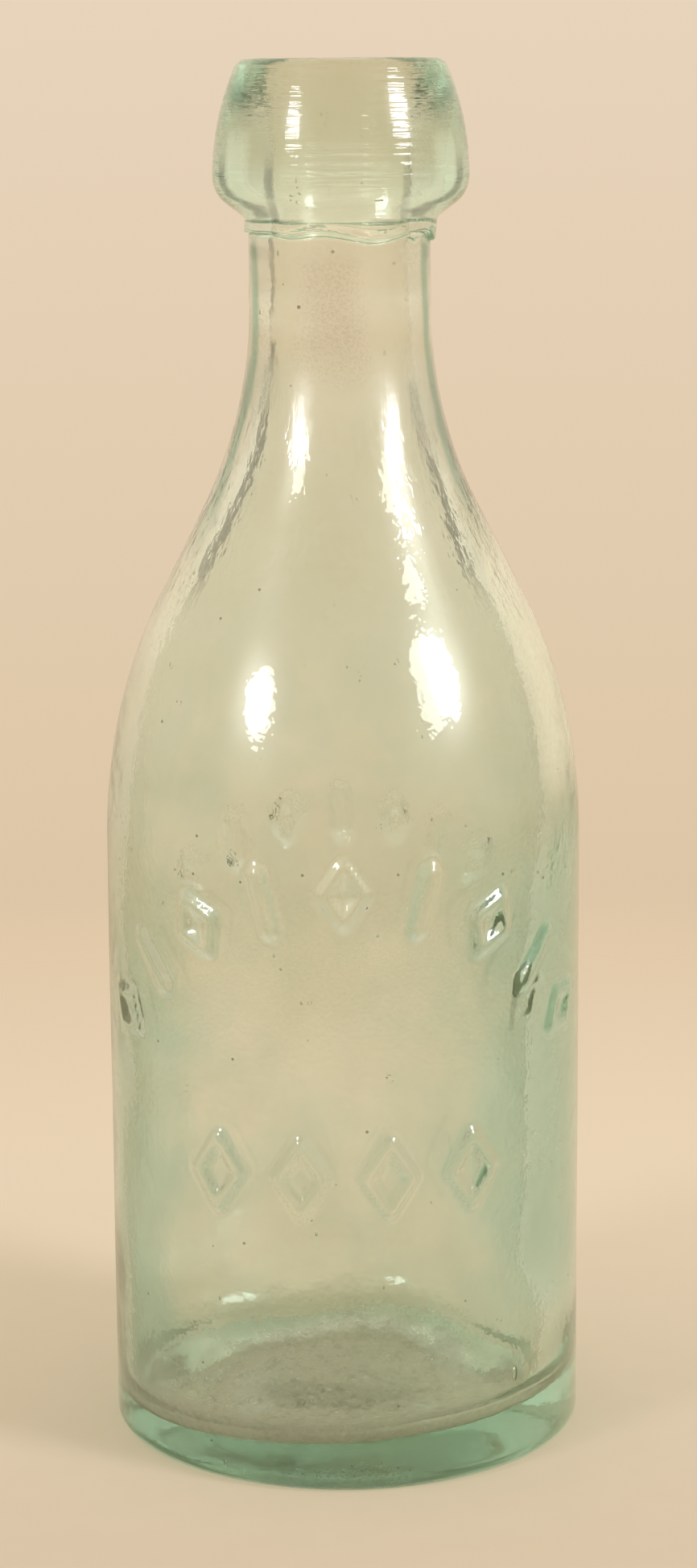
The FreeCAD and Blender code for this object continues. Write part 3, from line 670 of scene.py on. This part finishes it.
def filmAndPaintedReflections(spot, below):
    # Thin film of old dirt, which shows more where the glass is seen from the side, and painted reflections
    # in pale bands on the shoulder and lip
    look, x, height, facing, grit = filmLook, spot.x, spot.height, spot.facing, spot.grit
    film = (spot.inner * look["inside"] + look["outside"]) * (0.2 + spot.drift.above(0.35, 0.68) * 1.3)
    film = film * (0.6 + grit * 0.8) * (1.4 - height.above(*look["upper"]) * look["upperLoss"])
    film = film / (1.07 - facing)
    film = film + spot.inner * height.within(*look["floorLine"]) * (0.05 + spot.patches * 0.12)
    # Painted reflections: pale bands where the shoulder and the lip are turned from the eye
    reflectionBand = x.above(*look["bandRight"]) + x.under(*look["bandLeft"]) * look["bandLeftShare"]
    reflectionBand = reflectionBand * facing.within(*look["bandTurned"]) * height.within(*look["reflectionBand"])
    reflectionBand = reflectionBand * (look["bandShare"] + grit * look["bandGrit"])
    lipReflections = facing.within(*look["lipTurned"]) * height.within(*look["lip"])
    pale = spot.outer * (reflectionBand + lipReflections * (look["lipShare"] - x.above(-8, 8) * look["lipRightLoss"]))
    inMiddle = (x * x * 0.12 + x * 0.25 + spot.patches.sway(7)).under(0.0, 3.0)
    haze = spot.inner * height.within(*look["neck"]) * inMiddle
    haze = haze * (0.45 + spot.fineGrit.above(0.48, 0.62)) * look["neckHaze"]
    colour = grit.above(0.5, 0.7).blend(look["colour"], look["pale"])
    colour = haze.above(0.0, 0.05).blend(colour, look["neckColour"])
    bandReflectionColour = height.above(*look["bandColours"]).blend(look["bandReflectionColour"], look["lipReflectionColour"])
    colour = pale.above(0.02, 0.12).blend(colour, bandReflectionColour)
    # One dull shader shows both the dirt and the painted reflections
    dustAndReflections = spot.start.matt(colour, look["roughness"])
    return (film + haze + pale).atMost(look["most"]).cover(below, dustAndReflections)


grimeAndShadeLook = {
    # One dark colour for the smears and for painted shade at edges, round the lip and under its seam
    "colour": (0.075, 0.078, 0.06), "roughness": 0.6, "most": 0.85,
    # How strongly each kind covers, its heights, and how far the glass is turned from the eye there
    "innerEdgeShade": 0.16, "edgesTurned": (0.78, 0.95),
    "shoulderStart": (110, 122), "shoulderEnd": (144.0, 145.2), "shoulderTurned": (0.60, 0.70),
    "throat": 0.6, "throatHeights": (150.5, 153.0, 161.0, 163.0), "throatTurned": (0.62, 0.74),
    "lipSmear": (163.0, 164.5, 168.5, 172.5), "seamShade": (162.8, 163.6, 164.2, 165.4), "seamShare": 0.8,
    "lipEdgeShade": (163.0, 164.5, 168.5, 173.0), "hemTurned": (0.52, 0.60, 0.64, 0.72),
    "outline": 0.20, "outlineRightLoss": 0.09, "outlineHeights": (8, 14, 76, 94),
    "outlineTurned": (0.78, 0.97), "foot": 0.42, "footTop": (0.8, 2.4),
}


def darkGrimeAndShade(spot, below):
    # Darkening inside the shoulder and neck where the glass is turned from the eye, dark smears in the lip,
    # painted shade under the lip's lapped seam, round the lip and on the edges and outlines seen edge-on, and
    # dark patches low on the front of the foot
    look, x, y, height, facing, grit = grimeAndShadeLook, spot.x, spot.y, spot.height, spot.facing, spot.grit
    # Darkening inside the shoulder where the glass is turned from the eye
    shoulder = (height + x * 0.28 + grit.sway(3)).under(*look["shoulderEnd"])
    shoulder = shoulder * height.above(*look["shoulderStart"])
    shoulder = shoulder * (facing + grit.sway(0.12)).above(*look["shoulderTurned"])
    shoulder = shoulder * (1.0 + grit * 0.6 - x.above(-6, 6) * 0.3)
    throat = height.within(*look["throatHeights"]) * facing.above(*look["throatTurned"]) * x.under(-6.0, -4.0)
    # Painted shade: the inner skin darkens where it is seen edge-on
    innerEdgeShade = facing.above(*look["edgesTurned"]) * look["innerEdgeShade"]
    inside = spot.inner * (innerEdgeShade + shoulder + throat * look["throat"])
    side = (x * x) ** 0.5 + spot.patches.sway(1.2)
    smearsAndSeamShade = side.within(6.7, 7.1, 7.4, 7.8) * height.within(*look["lipSmear"])
    # Painted shade under the lip's lapped seam
    smearsAndSeamShade = smearsAndSeamShade + side.within(3.0, 5.5, 7.0, 7.4) * height.within(*look["seamShade"]) * look["seamShare"]
    smearsAndSeamShade = spot.inner * smearsAndSeamShade * y.under(-2.0, 0.0) * (0.1 + grit * 0.8) * (1 - x.above(4.0, 8.0) * 0.4)
    # Painted shade: dark lines round the lip where it turns from the eye
    hem = facing.within(*look["hemTurned"]) * height.within(*look["lipEdgeShade"]) * (0.2 + grit * 0.6)
    # Painted shade: a dark outline where the body is seen edge-on
    outline = facing.above(*look["outlineTurned"]) * height.within(*look["outlineHeights"])
    outline = outline * (look["outline"] - x.above(-10, 10) * look["outlineRightLoss"])
    foot = height.under(*look["footTop"]) * side.under(5.0, 17.0) * y.under(-24.0, -14.0)
    foot = foot * spot.fineGrit.above(0.25, 0.75) * look["foot"]
    covered = inside + smearsAndSeamShade + spot.outer * (hem + outline + foot)
    return covered.atMost(look["most"]).cover(below, spot.start.matt(look["colour"], look["roughness"]))


stainLook = {
    "colour": (0.36, 0.32, 0.235), "dark": (0.20, 0.175, 0.125), "pale": (0.52, 0.50, 0.42),
    "rim": (0.37, 0.36, 0.29), "roughness": 0.8, "most": 0.72, "tideScale": 240.0,
    # Its edge up the wall, the disc in the middle, and how far forward and out to the corner it goes
    "upWall": (5.9, 10.4), "disc": (15.0, 25.5), "forward": (-15.0, 2.0), "corner": (17.0, 26.0),
    # Where the corner's rim is thinner: at the back and on the right
    "back": (2.0, 16.0), "backLoss": 0.26, "right": (12.0, 22.0), "rightLoss": 0.36,
    "belowLoss": 0.65, "seenBelow": (21.0, 24.5),
}


def driedStain(spot, below):
    # Dull stain that dried on the floor of the hollow, in a disc with a rim in the corner
    start, look, x, y, fromAxis = spot.start, stainLook, spot.x, spot.y, spot.fromAxis
    grit, patches, mottle = spot.grit, spot.patches, spot.mottle
    onFloor = spot.inner * (spot.height + patches.sway(4) + mottle.sway(1.6)).under(*look["upWall"])
    disc = (fromAxis + patches.sway(14) + mottle.sway(6)).under(*look["disc"])
    front = (y + patches.sway(10)).under(*look["forward"]) * 0.55
    tideMarks = start.node("ShaderNodeTexWave", {"wave_type": "RINGS", "rings_direction": "Z"}, {
        "Vector": spot.place, "Scale": look["tideScale"], "Distortion": 3.0, "Detail": 2.0,
        "Detail Scale": 0.6}, "Fac")
    fromBelow = start.node("ShaderNodeNewGeometry", {}, {}, "Backfacing")
    spread = (disc + front * (1 - disc)) * (0.44 + grit.above(0.30, 0.70) * 0.28 + tideMarks * 0.14)
    thinner = y.above(*look["back"]) * -look["backLoss"] * (1 - fromBelow)
    thinner = thinner - x.above(*look["right"]) * look["rightLoss"]
    rim = fromAxis.above(*look["corner"]) * (0.30 + patches * 0.36 + thinner)
    fromUnder = fromBelow * look["belowLoss"] * fromAxis.under(*look["seenBelow"])
    stained = onFloor * (spread + rim) * (1 - fromUnder)
    dark = spot.scuffs.above(0.50, 0.62)
    pale = (grit.above(0.56, 0.70) + x.above(8.0, 24.0) * 0.7).atMost(1.0)
    colour = pale.blend(dark.blend(look["colour"], look["dark"]), look["pale"])
    colour = (fromAxis.above(19.0, 25.0) * 0.6).blend(colour, look["rim"])
    return stained.atMost(look["most"]).cover(below, start.matt(colour, look["roughness"]))


speckLook = {
    "colour": (0.17, 0.13, 0.09), "roughness": 0.6, "scale": 150.0, "sizes": (0.018, 0.040), "most": 0.8,
    # x, y, z and radius of single dark chips, in millimetres
    "chips": [(-13.5, -23.0, 6.0, 0.7), (-6.6, -6.3, 155.4, 0.22), (-4.8, -7.8, 152.6, 0.3),
              (6.4, -6.9, 142.5, 0.26)],
    "chipRagged": 0.8, "chipHard": 0.7,
}


def scatteredSpecks(spot, below):
    # Specks all over and a few larger chips with ragged edges
    start, look = spot.start, speckLook
    cells = start.node("ShaderNodeTexVoronoi", {}, {"Vector": spot.place, "Scale": look["scale"]}, "Distance")
    specks = cells.under(*look["sizes"])
    for x, y, z, radius in look["chips"]:
        away = start.node("ShaderNodeVectorMath", {"operation": "DISTANCE"},
                          {0: spot.place, 1: Vector((x, y, z)) * mm}, "Value") * (1 / mm)
        edge = look["chipRagged"] / 2
        ragged = away + spot.mottle * look["chipRagged"]
        specks = specks + ragged.under(radius * look["chipHard"] + edge, radius + edge)
    share = (specks * look["most"]).atMost(look["most"])
    return share.cover(below, start.matt(look["colour"], look["roughness"]))


throughLook = {"lamps": (0.76, 0.765, 0.70), "room": (0.93, 0.95, 0.93)}


def aquaGlass():
    material, start = newMaterial("aqua_glass")
    spot = Spot(start)
    shown = clearGlass(spot)
    for layer in (filmAndPaintedReflections, darkGrimeAndShade, driedStain, scatteredSpecks):
        shown = layer(spot, shown)
    # Plain clear skins for the light of the lamps and the room, so that the floor isn't left black
    path = start.node("ShaderNodeLightPath", {}, {}, "Is Shadow Ray")
    forLamps = start.node("ShaderNodeBsdfTransparent", {}, {"Color": (*throughLook["lamps"], 1.0)})
    forRoom = start.node("ShaderNodeBsdfTransparent", {}, {"Color": (*throughLook["room"], 1.0)})
    shown = path.cover(path.beside("Is Diffuse Ray").cover(shown, forRoom), forLamps)
    volume = start.node("ShaderNodeVolumeAbsorption", {}, {"Color": (*clearLook["tint"], 1.0),
                                                           "Density": clearLook["density"]})
    start.node("ShaderNodeOutputMaterial", {}, {"Surface": shown, "Volume": volume})
    print("glass mixed")
    return material


paper = {
    "radius": 0.9, "below": 0.0001, "rings": 60, "columns": 96, "crowding": 1.6,
    # The paper is painted darker at the front and lighter behind, a painted falloff of the light
    "front": (0.75, 0.605, 0.455), "back": (0.91, 0.755, 0.58), "falloffFade": (-0.12, 0.12),
    "fade": (0.12, 0.34), "fibreScale": 160.0, "fibreSway": 0.03, "roughness": 0.9,
}
sky = {
    # Sine of the elevation and colour
    "stops": [(-1.0, (0.66, 0.52, 0.37)), (-0.25, (0.705, 0.552, 0.376)), (-0.20, (0.737, 0.578, 0.397)),
              (-0.07, (0.776, 0.624, 0.456)), (0.02, (0.805, 0.658, 0.497)), (0.13, (0.93, 0.785, 0.605)),
              (0.5, (0.93, 0.81, 0.63)), (1.0, (0.74, 0.66, 0.53))],
    "ambient": (0.62, 0.585, 0.53), "strength": 1.0,
}
lamps = {
    "keyLamp": {"azimuth": 60, "elevation": 25, "distance": 1.8, "width": 0.62, "tall": 0.52,
                "radiance": 15.0},
    "fillLamp": {"azimuth": -47, "elevation": 22.5, "distance": 1.8, "width": 0.40, "tall": 0.46,
                 "radiance": 13.0},
}
lampAim = (0, 0, 0.12)
view = {"place": (0.000745, -0.473, 0.1836), "down": 11.4, "roll": -0.37, "lens": 82.38, "sensor": 36.0,
        "clip": (0.01, 20.0)}
bounces = {"all": 14, "glossy": 9, "glass": 11}  # fewer leave black patches in the neck and foot


def addPaper():
    rings, columns = paper["rings"], paper["columns"]
    points = [(0, 0, -paper["below"])]
    for row in range(1, rings + 1):
        reach = paper["radius"] * (row / rings) ** paper["crowding"]
        points += [(reach * math.cos(fullTurn * i / columns), reach * math.sin(fullTurn * i / columns),
                    -paper["below"]) for i in range(columns)]
    faces = [(0, 1 + i, 1 + (i + 1) % columns) for i in range(columns)]
    for row in range(rings - 1):
        for i in range(columns):
            a, b = 1 + row * columns + i, 1 + row * columns + (i + 1) % columns
            faces.append((a, a + columns, b + columns, b))
    mesh = bpy.data.meshes.new("paper")
    mesh.from_pydata(points, [], faces)
    mesh.shade_smooth()
    floor = bpy.data.objects.new("paper", mesh)
    bpy.context.scene.collection.objects.link(floor)
    material, start = newMaterial("paper")
    place = start.node("ShaderNodeTexCoord", {}, {}, "Object")
    reach = start.node("ShaderNodeVectorMath", {"operation": "LENGTH"}, {0: place}, "Value")
    fibre = start.node("ShaderNodeTexNoise", {}, {
        "Vector": place, "Scale": paper["fibreScale"], "Detail": 4.0}, "Fac")
    depth = start.node("ShaderNodeSeparateXYZ", {}, {0: place}, "Y") + fibre.sway(paper["fibreSway"])
    # Painted light: the paper darkens towards the front and brightens behind
    toneAndFalloff = depth.above(*paper["falloffFade"]).blend(paper["front"], paper["back"])
    sheet = start.node("ShaderNodeBsdfPrincipled", {}, {"Base Color": toneAndFalloff, "Roughness": paper["roughness"],
                                                        "Specular IOR Level": 0.0})
    gone = start.node("ShaderNodeBsdfTransparent", {}, {})
    start.node("ShaderNodeOutputMaterial", {}, {"Surface": reach.above(*paper["fade"]).cover(sheet, gone)})
    mesh.materials.append(material)
    print("paper laid")
    return floor


def addWorld():
    world = bpy.data.worlds.new("studio")
    bpy.context.scene.world = world
    world.use_nodes = True
    world.node_tree.nodes.clear()
    start = Wire(world.node_tree)
    direction = start.node("ShaderNodeTexCoord", {}, {}, "Generated")
    rise = start.node("ShaderNodeSeparateXYZ", {}, {0: direction}, "Z")
    stops = [((place + 1) / 2, colour) for place, colour in sky["stops"]]
    seen = start.node("ShaderNodeValToRGB", {"stops": stops}, {0: (rise + 1) * 0.5})
    colour = start.node("ShaderNodeLightPath", {}, {}, "Is Diffuse Ray").blend(seen, sky["ambient"])
    light = start.node("ShaderNodeBackground", {}, {"Color": colour, "Strength": sky["strength"]})
    start.node("ShaderNodeOutputWorld", {}, {"Surface": light})


def addLamp(name, look):
    data = bpy.data.lights.new(name, "AREA")
    data.shape = "ELLIPSE"
    data.size, data.size_y = look["width"], look["tall"]
    data.energy = look["radiance"] * math.pi * look["width"] * look["tall"]
    lamp = bpy.data.objects.new(name, data)
    turn, lift = math.radians(look["azimuth"]), math.radians(look["elevation"])
    away = Vector((math.sin(turn) * math.cos(lift), -math.cos(turn) * math.cos(lift), math.sin(lift)))
    lamp.location = Vector(lampAim) + away * look["distance"]
    lamp.rotation_mode = "QUATERNION"
    lamp.rotation_quaternion = (-away).to_track_quat("-Z", "Z")
    lamp.visible_camera = False
    bpy.context.scene.collection.objects.link(lamp)


def addCamera():
    data = bpy.data.cameras.new("camera")
    data.lens, data.sensor_width = view["lens"], view["sensor"]
    data.clip_start, data.clip_end = view["clip"]
    camera = bpy.data.objects.new("camera", data)
    turn = Matrix.Rotation(math.radians(90 - view["down"]), 4, "X")
    turn = turn @ Matrix.Rotation(math.radians(view["roll"]), 4, "Z")
    camera.matrix_world = Matrix.Translation(view["place"]) @ turn
    bpy.context.scene.collection.objects.link(camera)
    bpy.context.scene.camera = camera


bottle = buildBottle()
bottle.data.materials.append(aquaGlass())
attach(bottle, "root")
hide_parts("bottle")
addPaper()
addWorld()
for name, look in lamps.items():
    addLamp(name, look)
addCamera()
bpy.context.scene.view_settings.view_transform = "Standard"
cycles = bpy.context.scene.cycles
cycles.max_bounces = bounces["all"]
cycles.glossy_bounces = bounces["glossy"]
cycles.transmission_bounces = bounces["glass"]
print("studio lit")
